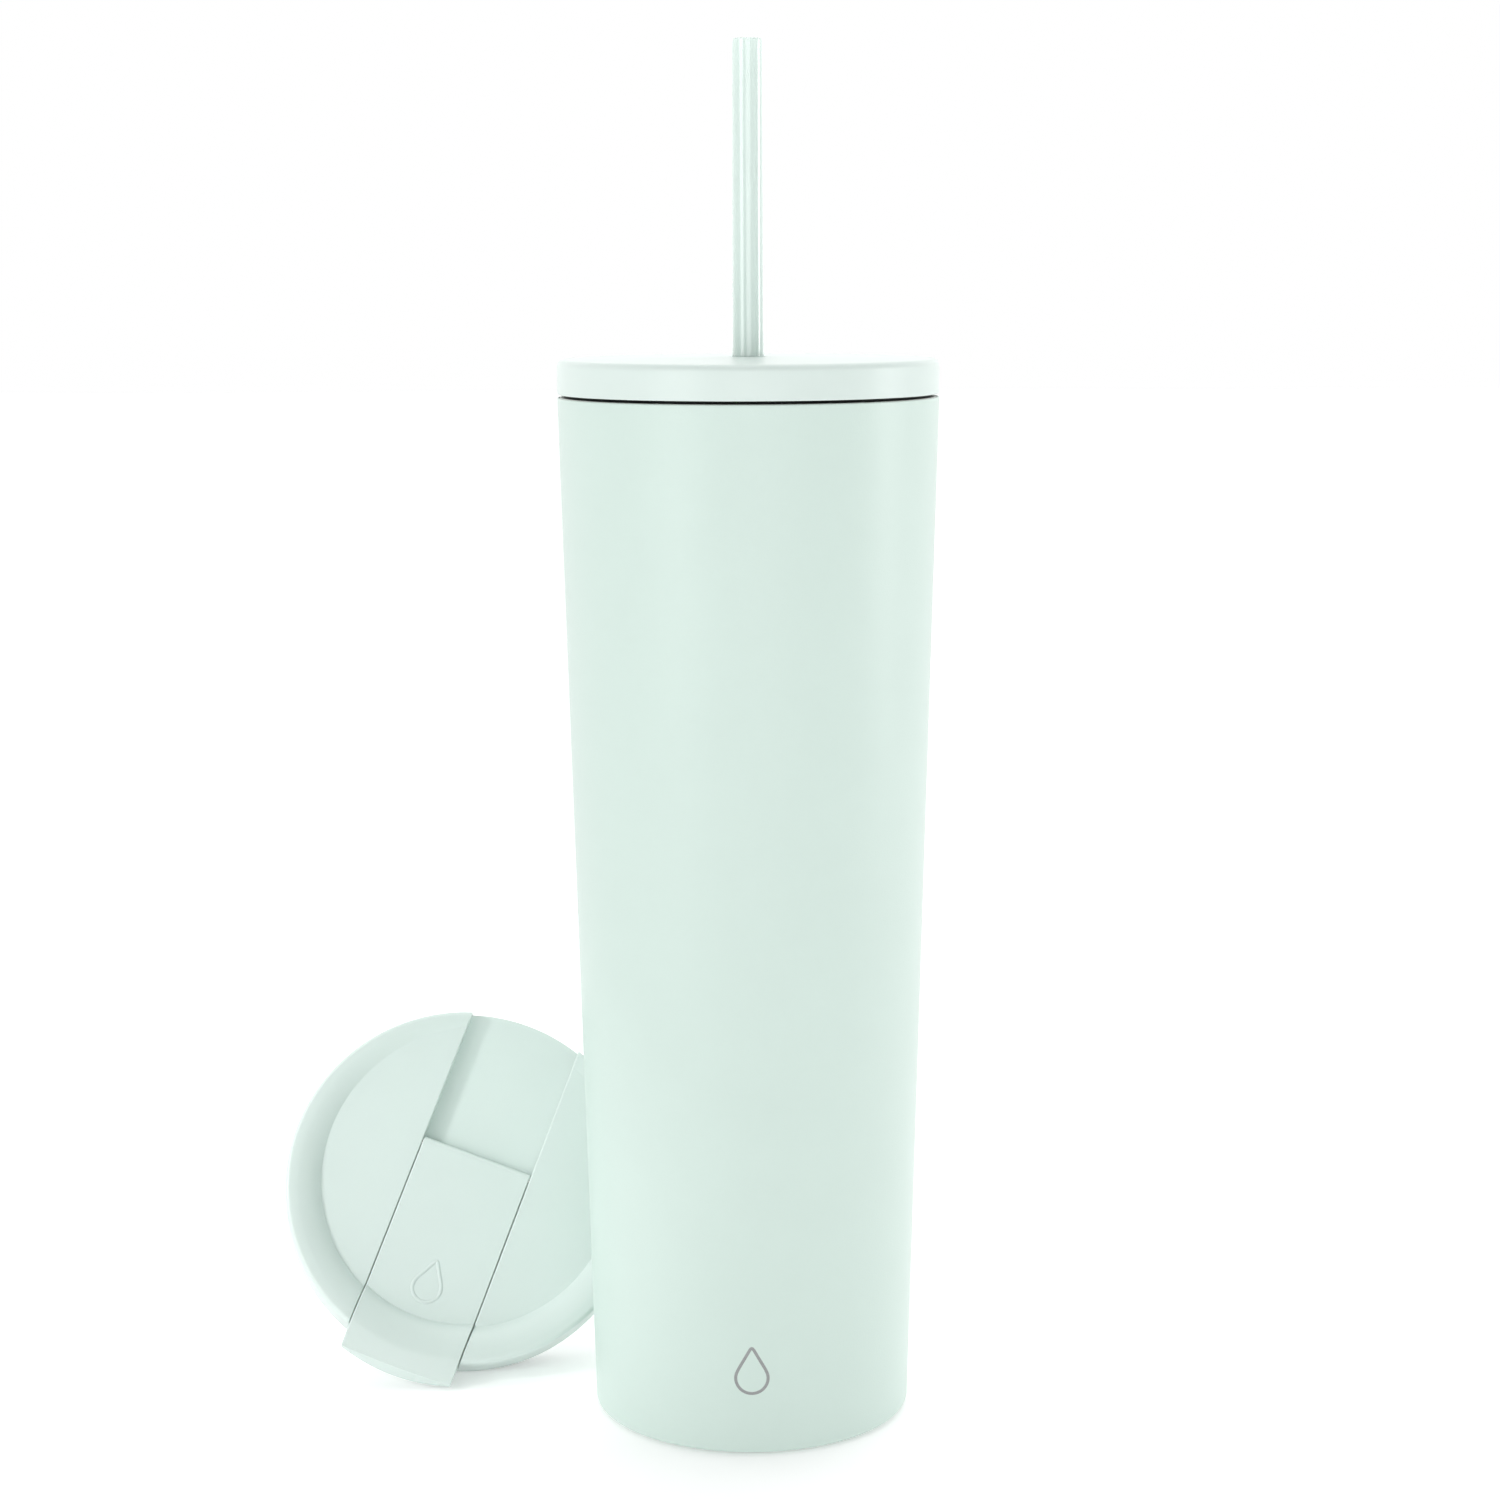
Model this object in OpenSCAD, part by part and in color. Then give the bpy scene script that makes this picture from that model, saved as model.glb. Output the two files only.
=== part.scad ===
// Double-wall steel tumbler with a press-in straw lid, its straw and a spare flip lid.
// Millimetres, +Z up, origin at the centre of the tumbler's base, on the table.
// The flip lid stands on its edge beside the tumbler and leans back on its own plug.

/* [Tumbler] */
// Height of the steel rim above the table
body_h = 242.4; // [230:0.1:255]
// Outside diameter at the rim
rim_d = 88; // [87:0.1:89]
// Outside diameter at the foot of the straight taper
base_d = 75.6; // [74:0.1:78]
// Radius of the painted shell's bottom corner
shell_corner = 1.6; // [1.2:0.1:2]
// Gap between the table and the painted shell
foot_gap = 0.6; // [0.4:0.1:1]
// Thickness of the outer steel sheet
shell_t = 0.6; // [0.5:0.1:0.8]
// Thickness of the inner steel sheet
liner_t = 0.5; // [0.4:0.1:0.7]
// Inside diameter of the straight mouth
mouth_d = 82; // [81.8:0.1:82.4]
// Depth of the straight mouth
mouth_depth = 30; // [26:1:40]
// Inside diameter of the liner above its floor corner
floor_d = 69; // [66:0.5:70]
// Height of the liner's floor above the table
floor_z = 9; // [8:0.5:12]
// Radius of the liner's floor corner
floor_corner = 9; // [6:1:12]

/* [Press-in plug of both lids] */
// Outside diameter of the plug
plug_d = 79.8; // [79:0.1:80]
// Wall of the plug
plug_t = 2.4; // [2:0.1:3]
// Depth of the plug below the rim seal
plug_depth = 8.5; // [8.2:0.1:9]
// Radial gap between the gasket's lips and the mouth
gasket_gap = 0.3; // [0.25:0.05:0.5]
// Thickness of the black rim seal
rim_seal_t = 0.6; // [0.4:0.1:0.8]

/* [Straw lid] */
// Height of the lid's side above the rim seal
cap_h = 7.9; // [7.4:0.1:10]
// Radius of the lid's top edge
cap_fillet = 1.5; // [1:0.1:2]
// Rise of the lid's top towards the straw
cap_crown = 0.6; // [0.3:0.1:1]
// Thickness of the lid's top and skirt
cap_t = 2.2; // [2:0.1:2.6]

/* [Straw] */
// Outside diameter of the straw
straw_d = 7.4; // [7:0.1:8]
// Wall of the straw
straw_t = 0.9; // [0.7:0.1:1.2]
// Length of straw above the lid's top
straw_out = 71.9; // [50:0.1:90]
// Gap between the straw's lower end and the liner's floor
straw_foot = 3.5; // [2:0.5:8]
// How far the straw can be drawn up through the lid
straw_pull = 40; // [20:1:60]

/* [Flip lid] */
// Outside diameter of the flip lid
flip_d = 90; // [89:0.5:92]
// Height of its side wall
flip_wall = 12; // [11:0.5:14]
// Radius of the inner edge of the rim's flat crest
crest_r = 42.2; // [42:0.1:42.6]
// Radius at the foot of the rim's inner slope
plate_r = 35.2; // [34.8:0.1:35.6]
// Depth of the flat plates below the crest, level with the hinge
plate_drop = 2.1; // [2:0.1:2.3]
// Slope of the plates, channel and tab down towards the drinking side, degrees
dish_tilt = 3.2; // [2.6:0.1:3.4]
// Width of the channel that crosses the lid
channel_w = 29; // [27:0.5:31]
// Side and underside gap round the flip tab
tab_gap = 0.3; // [0.25:0.05:0.4]
// Thickness of the flip tab and diameter of its hinge barrel
tab_t = 3; // [2.6:0.1:3.4]
// Distance of the hinge axis behind the lid's centre
hinge_back = 6.9; // [5:0.1:9]
// Diameter of the steel hinge pin
hinge_pin_d = 1.5; // [1.2:0.1:1.8]
// Radius of the tab's flat part, where it starts to rise to the crest
tab_flat_r = 34.6; // [34:0.2:35.4]
// Reach of the tab's finger lip from the lid's centre
lip_r = 50.4; // [49:0.1:50.5]
// Half the width between the drink slot's end arcs
slot_half = 5; // [4:0.5:6]
// Radius of the drink slot's ends
slot_r = 3.6; // [3:0.1:4]
// Distance of the drink slot from the lid's centre
slot_y = 31.5; // [30:0.5:32]
// Radius of the vent hole
vent_r = 1.5; // [1.2:0.1:2]
// Distance of the vent hole from the lid's centre
vent_y = 6; // [5:0.5:10]

/* [Where the flip lid stands] */
// Flip lid's centre, to the left of the tumbler's axis
flip_left = 71.6; // [71.6:0.2:90]
// Flip lid's centre, behind the tumbler's axis
flip_behind = 28.2; // [28.2:0.2:36]
// Turn of the flip lid about the vertical, degrees
flip_yaw = 8.5; // [8:0.1:8.6]
// Turn of the tab away from straight down, degrees
flip_roll = 23.5; // [23:0.1:23.6]

/* [Hidden] */
$fn = 96;

mint = [0.80, 0.90, 0.87];
mint_dark = [0.70, 0.84, 0.79];
steel_grey = [0.78, 0.78, 0.77];
copper = [0.80, 0.50, 0.35];
glass_brown = [0.35, 0.25, 0.20];
silicone_black = [0.05, 0.06, 0.06];
silicone_clear = [0.86, 0.90, 0.88];

eps = 0.05;      // gap between pieces that are fixed together
arc_steps = 8;   // straight steps in each rounded corner of a profile
fit = 0.05;      // radial clearance of a running fit

rim_r = rim_d / 2;
base_r = base_d / 2;
mouth_r = mouth_d / 2;
floor_r = floor_d / 2;
shell_top = body_h - 0.1;
hem_r = base_r - 2.5;          // where the shell's bottom hem ends
base_sheet = shell_t;
cover_r = 31;
cover_t = 0.8;
cover_sink = 0.9;              // height of the base plate's recess, in which the cover disc sits
dimple_z = 1.9;                // height of the dimple round the evacuation hole
getter_x = 20;
getter_z = cover_sink + base_sheet + eps;

plug_r = plug_d / 2;
plug_in_r = plug_r - plug_t;
gasket_r = mouth_r - gasket_gap;
groove_depth = 1.2;
groove_h = 3.6;
flange_t = 1.8;

lid_z = body_h + rim_seal_t;   // underside of the straw lid's skirt
cap_top = lid_z + cap_h;
straw_r = straw_d / 2;
straw_hole_r = straw_r + 0.5;
grommet_r = straw_r + 3;
grommet_foot = lid_z - 1.5;
straw_top = cap_top + cap_crown + straw_out - 0.6;
straw_bottom = floor_z + straw_foot;
ridge_h = 2.2;
ridge_top = grommet_foot - straw_pull - 0.4;
ridge_r = straw_r + 1.2;

flip_r = flip_d / 2;
skirt_t = 2.4;                 // thickness of the flip lid's side wall
plate_t = 2;
channel_floor = -(plate_drop + tab_t + 0.4);
floor_t = 1.6;
tab_half = channel_w / 2 - tab_gap;
barrel_r = tab_t / 2;
hinge_z = -(plate_drop + barrel_r);
wall_t = 3;                    // wall between the channel and the hollow under a plate
tray_half = channel_w / 2 + wall_t;
pin_half = tray_half - 0.5;
lean = atan((flip_r - plug_r) / plug_depth);
flip_z = flip_r * cos(lean) + flip_wall * sin(lean);
crest_round = 1.1;             // radius of the rim's outer edge
slope_depth = 4.7;             // depth at the foot of the rim's inner slope
slope_start = 18;              // angles between which the inner slope is an arc, stretched
slope_end = 72;
seal_gap = 0.35;               // radial gap between the tab's two seals and their holes
seal_t = 1.6;                  // height of those seals, with their top against the tab
far = 200;

// Points of a round corner: centre x and z, radius, first and last angle
function arc(x, z, r, a0, a1) =
    [for (i = [0:arc_steps]) let (a = a0 + (a1 - a0) * i / arc_steps) [x + r * cos(a), z + r * sin(a)]];

module turned(points) { rotate_extrude() polygon(points); }

// Puts a piece drawn with the lid's crest at z = 0 and its tab towards -Y where the flip lid leans
module flip_place() {
    translate([-flip_left, flip_behind, flip_z])
        rotate([90 - lean, 0, flip_yaw]) rotate([0, 0, -flip_roll]) children();
}

// ---------- tumbler ----------

module outer_shell() {
    color(mint) turned(concat(
        [[hem_r, foot_gap + shell_t], [hem_r, foot_gap]],
        arc(base_r - shell_corner, foot_gap + shell_corner, shell_corner, -90, 0),
        [[rim_r, shell_top], [rim_r - shell_t, shell_top]],
        arc(base_r - shell_corner, foot_gap + shell_corner, shell_corner - shell_t, 0, -90)
    ));
}

module outer_base() {
    foot_r = hem_r - eps;
    seat = foot_gap + shell_t + eps;
    dimple_r = 5;
    hole_r = 1.2;
    color(steel_grey) turned(concat(
        [[hole_r, dimple_z], [dimple_r, dimple_z], [dimple_r + 1, cover_sink], [cover_r + 0.1, cover_sink]],
        [[cover_r + 0.9, 0]],
        arc(foot_r - 0.5, 0.5, 0.5, -90, 0),
        [[foot_r, seat], [base_r - shell_t - 0.9, seat], [base_r - shell_t - 0.9, seat + base_sheet]],
        [[foot_r - base_sheet, seat + base_sheet], [foot_r - base_sheet, base_sheet]],
        [[cover_r + 1.3, base_sheet], [cover_r + 0.4, cover_sink + base_sheet]],
        [[dimple_r + 1.3, cover_sink + base_sheet], [dimple_r + 0.3, dimple_z + base_sheet]],
        [[hole_r, dimple_z + base_sheet]]
    ));
}

module base_cover() {
    color(steel_grey) turned(concat(
        [[0, 0]], arc(cover_r - 0.4, 0.4, 0.4, -90, 0), [[cover_r, cover_t], [0, cover_t]]
    ));
}

module vacuum_seal() {
    color(glass_brown) turned([[0, 1], [3.6, 1], [4.2, 1.3], [4.2, 1.85], [1.1, 1.85], [1.1, 2.9], [0, 3.1]]);
}

module getter() {
    color(steel_grey) translate([getter_x, 0, getter_z]) cylinder(r = 4.5, h = 1.6);
}

module getter_strap() {
    span = 7;
    color(steel_grey) translate([getter_x, 0, getter_z]) {
        translate([-span, -2, 1.65]) cube([2 * span, 4, 0.4]);
        for (s = [-1, 1]) translate([s * (span - 0.2) - 0.2, -2, 0]) cube([0.4, 4, 1.8]);
        for (s = [-1, 1]) translate([s * (span + 1.2) - 1.5, -2, 0]) cube([3, 4, 0.4]);
    }
}

// Liner's inside radius at height z, from the top of its floor corner to the mouth
function liner_r(z) =
    floor_r + (mouth_r - floor_r) * (z - floor_z - floor_corner)
        / (body_h - mouth_depth - floor_z - floor_corner);

module heat_shield() {
    foil_t = 0.1;
    low = floor_z + floor_corner + 2;
    high = body_h - mouth_depth - 5;
    gap = liner_t + 0.15;
    color(copper) turned([
        [liner_r(low) + gap, low], [liner_r(high) + gap, high],
        [liner_r(high) + gap + foil_t, high], [liner_r(low) + gap + foil_t, low]
    ]);
}

module inner_liner() {
    lip = 1.1;
    rim_in = rim_r - shell_t - eps;
    low = floor_z + floor_corner;
    high = body_h - mouth_depth;
    color(steel_grey) turned(concat(
        [[0, floor_z]],
        arc(floor_r - floor_corner, low, floor_corner, -90, 0),
        [[mouth_r, high]],
        arc(mouth_r + lip, body_h - lip, lip, 180, 90),
        [[rim_in, body_h], [rim_in, body_h - 1.2], [rim_in - liner_t, body_h - 1.2]],
        [[rim_in - liner_t, body_h - liner_t], [mouth_r + lip, body_h - liner_t]],
        [[mouth_r + liner_t, body_h - lip], [mouth_r + liner_t, high]],
        arc(floor_r - floor_corner, low, floor_corner + liner_t, 0, -90),
        [[0, floor_z - liner_t]]
    ));
}

// ---------- press-in plug, gasket and rim seal, drawn with the skirt's underside at z = 0 ----------

module plug_ring(skirt_r) {
    groove_top = -plug_depth * 0.42;
    turned([
        [plug_in_r, flange_t], [plug_in_r + 0.4, -plug_depth],
        [plug_r - 0.5, -plug_depth], [plug_r, -plug_depth + 0.5],
        [plug_r, groove_top - groove_h], [plug_r - groove_depth, groove_top - groove_h],
        [plug_r - groove_depth, groove_top], [plug_r, groove_top], [plug_r, eps],
        [skirt_r, eps], [skirt_r, flange_t]
    ]);
}

module gasket_ring() {
    top = -plug_depth * 0.42 - eps;
    bottom = top - groove_h + 2 * eps;
    root = plug_r - groove_depth + eps;
    middle = (top + bottom) / 2;
    turned([
        [root, bottom], [plug_r + 0.1, bottom], [gasket_r, bottom + 0.9], [gasket_r, bottom + 1.3],
        [plug_r + 0.05, middle], [gasket_r, top - 0.8], [gasket_r, top - 0.4],
        [plug_r + 0.1, top], [root, top]
    ]);
}

module rim_seal_ring() {
    turned([
        [plug_r + eps, -rim_seal_t + 0.02], [rim_r - 1.75, -rim_seal_t + 0.02],
        [rim_r - 1.5, -rim_seal_t + 0.2], [rim_r - 1.5, 0], [plug_r + eps, 0]
    ]);
}

// ---------- straw lid ----------

module straw_lid_cap() {
    under = cap_top - cap_t;
    skirt_in = rim_r - cap_t;
    boss_in = grommet_r + eps;
    boss_out = boss_in + 1.8;
    edge = 0.5;
    color(mint) turned(concat(
        [[straw_hole_r, under], [straw_hole_r, cap_top + cap_crown - edge]],
        [[straw_hole_r + edge, cap_top + cap_crown]],
        [[rim_r * 0.55, cap_top + cap_crown * 0.62]],
        arc(rim_r - cap_fillet, cap_top - cap_fillet, cap_fillet, 90, 0),
        [[rim_r, lid_z + eps], [skirt_in, lid_z + eps], [skirt_in, under]],
        [[boss_out, under], [boss_out, lid_z], [boss_in, lid_z], [boss_in, under]]
    ));
}

module straw_lid_plug() {
    color(mint_dark) translate([0, 0, lid_z]) plug_ring(rim_r - cap_t - eps);
}

module straw_lid_gasket() {
    color(silicone_clear) translate([0, 0, lid_z]) gasket_ring();
}

module straw_lid_rim_seal() {
    color(silicone_black) translate([0, 0, lid_z]) rim_seal_ring();
}

module straw_grommet() {
    high = cap_top - cap_t - eps;
    color(silicone_clear) turned([
        [straw_r + fit, grommet_foot + 1.2], [straw_r + 1, grommet_foot], [grommet_r + 1.4, grommet_foot],
        [grommet_r + 1.4, lid_z - eps], [grommet_r, lid_z - eps], [grommet_r, high],
        [straw_r + 1, high], [straw_r + fit, high - 1.2]
    ]);
}

module straw() {
    bore_r = straw_r - straw_t;
    edge = 0.3;
    color(mint) turned([
        [bore_r, straw_bottom], [straw_r - edge, straw_bottom], [straw_r, straw_bottom + edge],
        [straw_r, ridge_top - ridge_h], [ridge_r, ridge_top - ridge_h + 0.8],
        [ridge_r, ridge_top - 0.3], [ridge_r - 0.3, ridge_top], [straw_r, ridge_top],
        [straw_r, straw_top - edge], [straw_r - edge, straw_top], [bore_r, straw_top]
    ]);
}

// ---------- flip lid, drawn with the crest at z = 0 and the tab towards -Y ----------

// Slope from height 0 at radius from_r down by depth at radius to_r, steepest at its foot
function slope(from_r, to_r, depth) =
    let (s0 = sin(slope_start), s1 = sin(slope_end), c0 = cos(slope_start), c1 = cos(slope_end))
    [for (i = [0:arc_steps]) let (a = slope_start + (slope_end - slope_start) * i / arc_steps)
        [from_r + (to_r - from_r) * (sin(a) - s0) / (s1 - s0), -depth * (c0 - cos(a)) / (c0 - c1)]];

// Slopes its children down towards the drinking side, about the hinge
module tilted() {
    translate([0, hinge_back, hinge_z]) rotate([dish_tilt, 0, 0]) translate([0, -hinge_back, -hinge_z])
        children();
}

module stadium(half, r, h) {
    for (s = [-1, 1]) translate([s * half, 0, 0]) cylinder(r = r, h = h);
    translate([-half, -r, 0]) cube([2 * half, 2 * r, h]);
}

module flip_cap_local() {
    skirt_in = flip_r - skirt_t;
    tray_low = channel_floor - floor_t;
    difference() {
        turned(concat(
            [[0, 0], [0, -flip_wall + eps], [flip_r - 0.4, -flip_wall + eps], [flip_r, -flip_wall + 0.4]],
            arc(flip_r - crest_round, -crest_round, crest_round, 0, 90)
        ));
        // dish inside the raised rim, floored by the sloping plates
        intersection() {
            turned(concat(
                [[crest_r, 1]], slope(crest_r, plate_r, slope_depth), [[plate_r, -far], [0, -far], [0, 1]]
            ));
            tilted() translate([-far / 2, -far / 2, -plate_drop]) cube(far);
        }
        // channel right across the lid
        tilted() translate([-channel_w / 2, -far / 2, channel_floor]) cube([channel_w, far, far]);
        // hollow under the channel's floor
        intersection() {
            translate([0, 0, -far]) cylinder(r = skirt_in, h = far);
            tilted() translate([-tray_half - 0.1, -far / 2, tray_low - far])
                cube([2 * tray_half + 0.2, far, far]);
        }
        // hollows under the two plates and the rim's slope
        for (s = [0, 1]) mirror([s, 0, 0]) intersection() {
            turned([
                [0, -far], [skirt_in, -far], [skirt_in, -2.4], [crest_r - 3, -3.5],
                [plate_r + 1.8, -slope_depth - 0.8], [plate_r + 1.8, 0], [0, 0]
            ]);
            tilted() translate([tray_half, -far / 2, -plate_drop - plate_t - far]) cube(far);
        }
        tilted() {
            // hole for the hinge pin, blind in both walls
            translate([0, hinge_back, hinge_z]) rotate([0, 90, 0])
                cylinder(r = hinge_pin_d / 2, h = 2 * pin_half + 0.2, center = true);
            // drink slot and vent
            translate([0, -slot_y, tray_low - 1]) stadium(slot_half, slot_r, far);
            translate([0, -vent_y, tray_low - 1]) cylinder(r = vent_r, h = far);
        }
    }
}

module flip_lid_cap() { color(mint) flip_place() flip_cap_local(); }

module flip_lid_plug() {
    color(mint_dark) flip_place() translate([0, 0, -flip_wall]) plug_ring(flip_r - skirt_t - eps);
}

module flip_lid_gasket() {
    color(silicone_clear) flip_place() translate([0, 0, -flip_wall]) gasket_ring();
}

module flip_lid_rim_seal() {
    color(silicone_black) flip_place() translate([0, 0, -flip_wall]) rim_seal_ring();
}

module hinge_pin() {
    color(steel_grey) flip_place() tilted() translate([0, hinge_back, hinge_z]) rotate([0, 90, 0])
        cylinder(r = hinge_pin_d / 2, h = 2 * pin_half, center = true);
}

// Section of the tab's outer part: flat, rise beside the rim's slope, ridge and rounded finger lip
function tab_section() =
    let (
        nose = 2.2, under = -plate_drop - tab_t,
        top = (crest_r + hinge_back) * tan(dish_tilt) + 0.3,
        rise = slope(crest_r + 0.8, tab_flat_r, top + plate_drop)
    )
    concat(
        [[0, under], [0, -plate_drop]],
        [for (i = [arc_steps:-1:0]) [rise[i][0], top + rise[i][1]]],
        arc(lip_r - nose, top - nose - 0.3, nose, 75, -40),
        [[flip_r + 0.9, under + 2.2], [flip_r - 0.6, under]]
    );

module flip_tab() {
    color(mint) flip_place() tilted() difference() {
        union() {
            intersection() {
                turned(tab_section());
                translate([-tab_half, -far, -far / 2]) cube([2 * tab_half, far, far]);
            }
            translate([-tab_half, -1, -plate_drop - tab_t]) cube([2 * tab_half, 1 + hinge_back, tab_t]);
            translate([0, hinge_back, hinge_z]) rotate([0, 90, 0])
                cylinder(r = barrel_r, h = 2 * tab_half, center = true);
        }
        translate([0, hinge_back, hinge_z]) rotate([0, 90, 0])
            cylinder(r = hinge_pin_d / 2 + fit, h = far, center = true);
    }
}

module spout_seal() {
    color(silicone_clear) flip_place() tilted() translate([0, -slot_y, -plate_drop - tab_t - seal_t])
        stadium(slot_half, slot_r - seal_gap, seal_t - eps);
}

module vent_seal() {
    color(silicone_clear) flip_place() tilted() translate([0, -vent_y, -plate_drop - tab_t - seal_t])
        cylinder(r = vent_r - seal_gap, h = seal_t - eps);
}

outer_shell();
outer_base();
base_cover();
vacuum_seal();
getter();
getter_strap();
heat_shield();
inner_liner();
straw_lid_cap();
straw_lid_plug();
straw_lid_gasket();
straw_lid_rim_seal();
straw_grommet();
straw();
flip_lid_cap();
flip_lid_plug();
flip_lid_gasket();
flip_lid_rim_seal();
hinge_pin();
flip_tab();
spout_seal();
vent_seal();
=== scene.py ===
"""Looks of the insulated tumbler: powder-coated steel body, straw lid with straw, and spare flip lid."""

from math import acos, atan, atan2, copysign, cos, pi, radians, sin, sqrt, tan

import bmesh
import bpy
from mathutils import Matrix, Vector


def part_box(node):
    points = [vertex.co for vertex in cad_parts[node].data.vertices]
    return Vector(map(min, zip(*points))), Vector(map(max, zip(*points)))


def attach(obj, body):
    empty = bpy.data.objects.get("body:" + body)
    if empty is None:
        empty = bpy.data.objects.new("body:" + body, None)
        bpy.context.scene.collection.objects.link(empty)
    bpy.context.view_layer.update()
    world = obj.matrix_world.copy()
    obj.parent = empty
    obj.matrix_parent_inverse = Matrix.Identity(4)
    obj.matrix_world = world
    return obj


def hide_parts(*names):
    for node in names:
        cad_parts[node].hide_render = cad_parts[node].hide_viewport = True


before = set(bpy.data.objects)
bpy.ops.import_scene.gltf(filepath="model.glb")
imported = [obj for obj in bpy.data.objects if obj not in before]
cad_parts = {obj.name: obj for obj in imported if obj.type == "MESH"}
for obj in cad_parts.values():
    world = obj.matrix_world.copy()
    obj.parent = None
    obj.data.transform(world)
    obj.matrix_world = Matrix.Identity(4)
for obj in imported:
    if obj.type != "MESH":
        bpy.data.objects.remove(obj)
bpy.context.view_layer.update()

MM = 0.001
TURN_STEPS = 192
ARC_STEPS = 6

# ---------------------------------------------------------------- sizes, in mm, as in the CAD source
BODY_H = 242.4
RIM_R = 44.0
BASE_R = 37.8
SHELL_CORNER = 1.6
FOOT_GAP = 0.6
SHELL_T = 0.6
LINER_T = 0.5
MOUTH_R = 41.0
MOUTH_DEPTH = 30.0
FLOOR_R = 34.5
FLOOR_Z = 9.0
FLOOR_CORNER = 9.0
COVER_R = 31.0
COVER_T = 0.8

PLUG_R = 39.9
PLUG_T = 2.4
PLUG_DEPTH = 8.5
FLANGE_T = 1.8
GASKET_R = MOUTH_R - 0.3
GROOVE_DEPTH = 1.2
GROOVE_H = 3.6
RIM_SEAL_T = 0.6
SEAL_R = RIM_R - 1.5

LID_Z = BODY_H + RIM_SEAL_T
CAP_TOP = LID_Z + 7.9
CAP_FILLET = 1.5
CAP_CROWN = 0.6
CAP_T = 2.2

STRAW_R = 3.7
STRAW_BORE = 2.8
STRAW_HOLE_R = 4.2
STRAW_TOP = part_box("straw")[1][2] / MM
STRAW_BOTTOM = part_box("straw")[0][2] / MM
GROMMET_R = STRAW_R + 3.0
GROMMET_FOOT = LID_Z - 1.5
RIDGE_TOP = GROMMET_FOOT - 40.4
RIDGE_R = STRAW_R + 1.2
RIDGE_H = 2.2

FLIP_R = 45.0
FLIP_WALL = 12.0
SKIRT_IN = FLIP_R - 2.4
CREST_R = 42.2
CREST_ROUND = 1.1
RIM_INSIDE = 40.5
PLATE_R = 35.2
PLATE_DROP = 2.1
PLATE_T = 2.0
DISH_TILT = radians(3.2)
SLOPE_DEPTH = 4.7
SLOPE_START = radians(18)
SLOPE_END = radians(72)
SLOPE_STEPS = 14
EDGE_ROUND = 0.18
CHANNEL_HALF = 14.5
CHANNEL_FLOOR = -5.5
FLOOR_T = 1.6
WALL_T = 3.0
WALL_SINK = 1.4
WALL_RISE = 0.77
TAB_HALF = 14.3
TAB_T = 3.0
HINGE_BACK = 6.9
HINGE_Z = -(PLATE_DROP + TAB_T / 2)
PIN_R = 0.75
PIN_HALF = CHANNEL_HALF + WALL_T - 0.5
TAB_FLAT_R = 34.6
LIP_R = 50.4
SLOT_HALF = 5.0
SLOT_R = 3.6
SLOT_Y = 31.5
VENT_R = 1.5
VENT_Y = 6.0

FLIP_LEAN = atan((FLIP_R - PLUG_R) / PLUG_DEPTH)
FLIP_YAW = radians(8.5)
FLIP_ROLL = radians(23.5)
FLIP_AT = Vector((-71.6, 28.2, FLIP_R * cos(FLIP_LEAN) + FLIP_WALL * sin(FLIP_LEAN)))
FLIP_PLACE = (
    Matrix.Translation(FLIP_AT)
    @ Matrix.Rotation(FLIP_YAW, 4, "Z")
    @ Matrix.Rotation(pi / 2 - FLIP_LEAN, 4, "X")
    @ Matrix.Rotation(-FLIP_ROLL, 4, "Z")
)
TAB_PLACE = (
    FLIP_PLACE
    @ Matrix.Translation((0, HINGE_BACK, HINGE_Z))
    @ Matrix.Rotation(DISH_TILT, 4, "X")
    @ Matrix.Translation((0, -HINGE_BACK, -HINGE_Z))
)


# ---------------------------------------------------------------- camera
def make_camera():
    cam = bpy.data.objects.new("camera", bpy.data.cameras.new("camera"))
    bpy.context.scene.collection.objects.link(cam)
    bpy.context.scene.camera = cam
    cam.data.sensor_width = 36.0
    cam.data.lens = 69.62
    cam.data.clip_start = 0.05
    cam.data.clip_end = 20.0
    pitch = radians(9.382)
    roll = 0.0037
    cam.matrix_world = (
        Matrix.Translation((0.0001, -0.6738, 0.2709))
        @ Matrix.Rotation(pi / 2 - pitch, 4, "X")
        @ Matrix.Rotation(-roll, 4, "Z")
    )


make_camera()


# ---------------------------------------------------------------- mesh helpers
def rounded(corners, steps=ARC_STEPS, support=0.08):
    """Closed outline from (x, y, radius) corners. A corner with a radius becomes an arc with supports."""
    out = []
    n = len(corners)
    for i, (x, y, r) in enumerate(corners):
        here = Vector((x, y))
        before = Vector(corners[i - 1][:2]) - here
        after = Vector(corners[(i + 1) % n][:2]) - here
        turn = before.angle(after) if before.length and after.length else pi
        if r <= 0 or turn > pi - 0.01:
            out.append((x, y))
            continue
        reach = r / abs(sin(turn / 2) / cos(turn / 2))
        reach = min(reach, 0.49 * before.length, 0.49 * after.length)
        r = reach * abs(sin(turn / 2) / cos(turn / 2))
        start = here + before.normalized() * reach
        end = here + after.normalized() * reach
        centre = here + (before.normalized() + after.normalized()).normalized() * sqrt(reach**2 + r**2)
        if before.length > reach + 3 * support:
            out.append(tuple(start + before.normalized() * support))
        a, b = start - centre, end - centre
        whole = a.angle(b)
        for k in range(steps + 1):
            t = k / steps
            w0, w1 = sin((1 - t) * whole), sin(t * whole)
            out.append(tuple(centre + (a * w0 + b * w1) / sin(whole)))
        if after.length > reach + 3 * support:
            out.append(tuple(end + after.normalized() * support))
    return out


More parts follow.
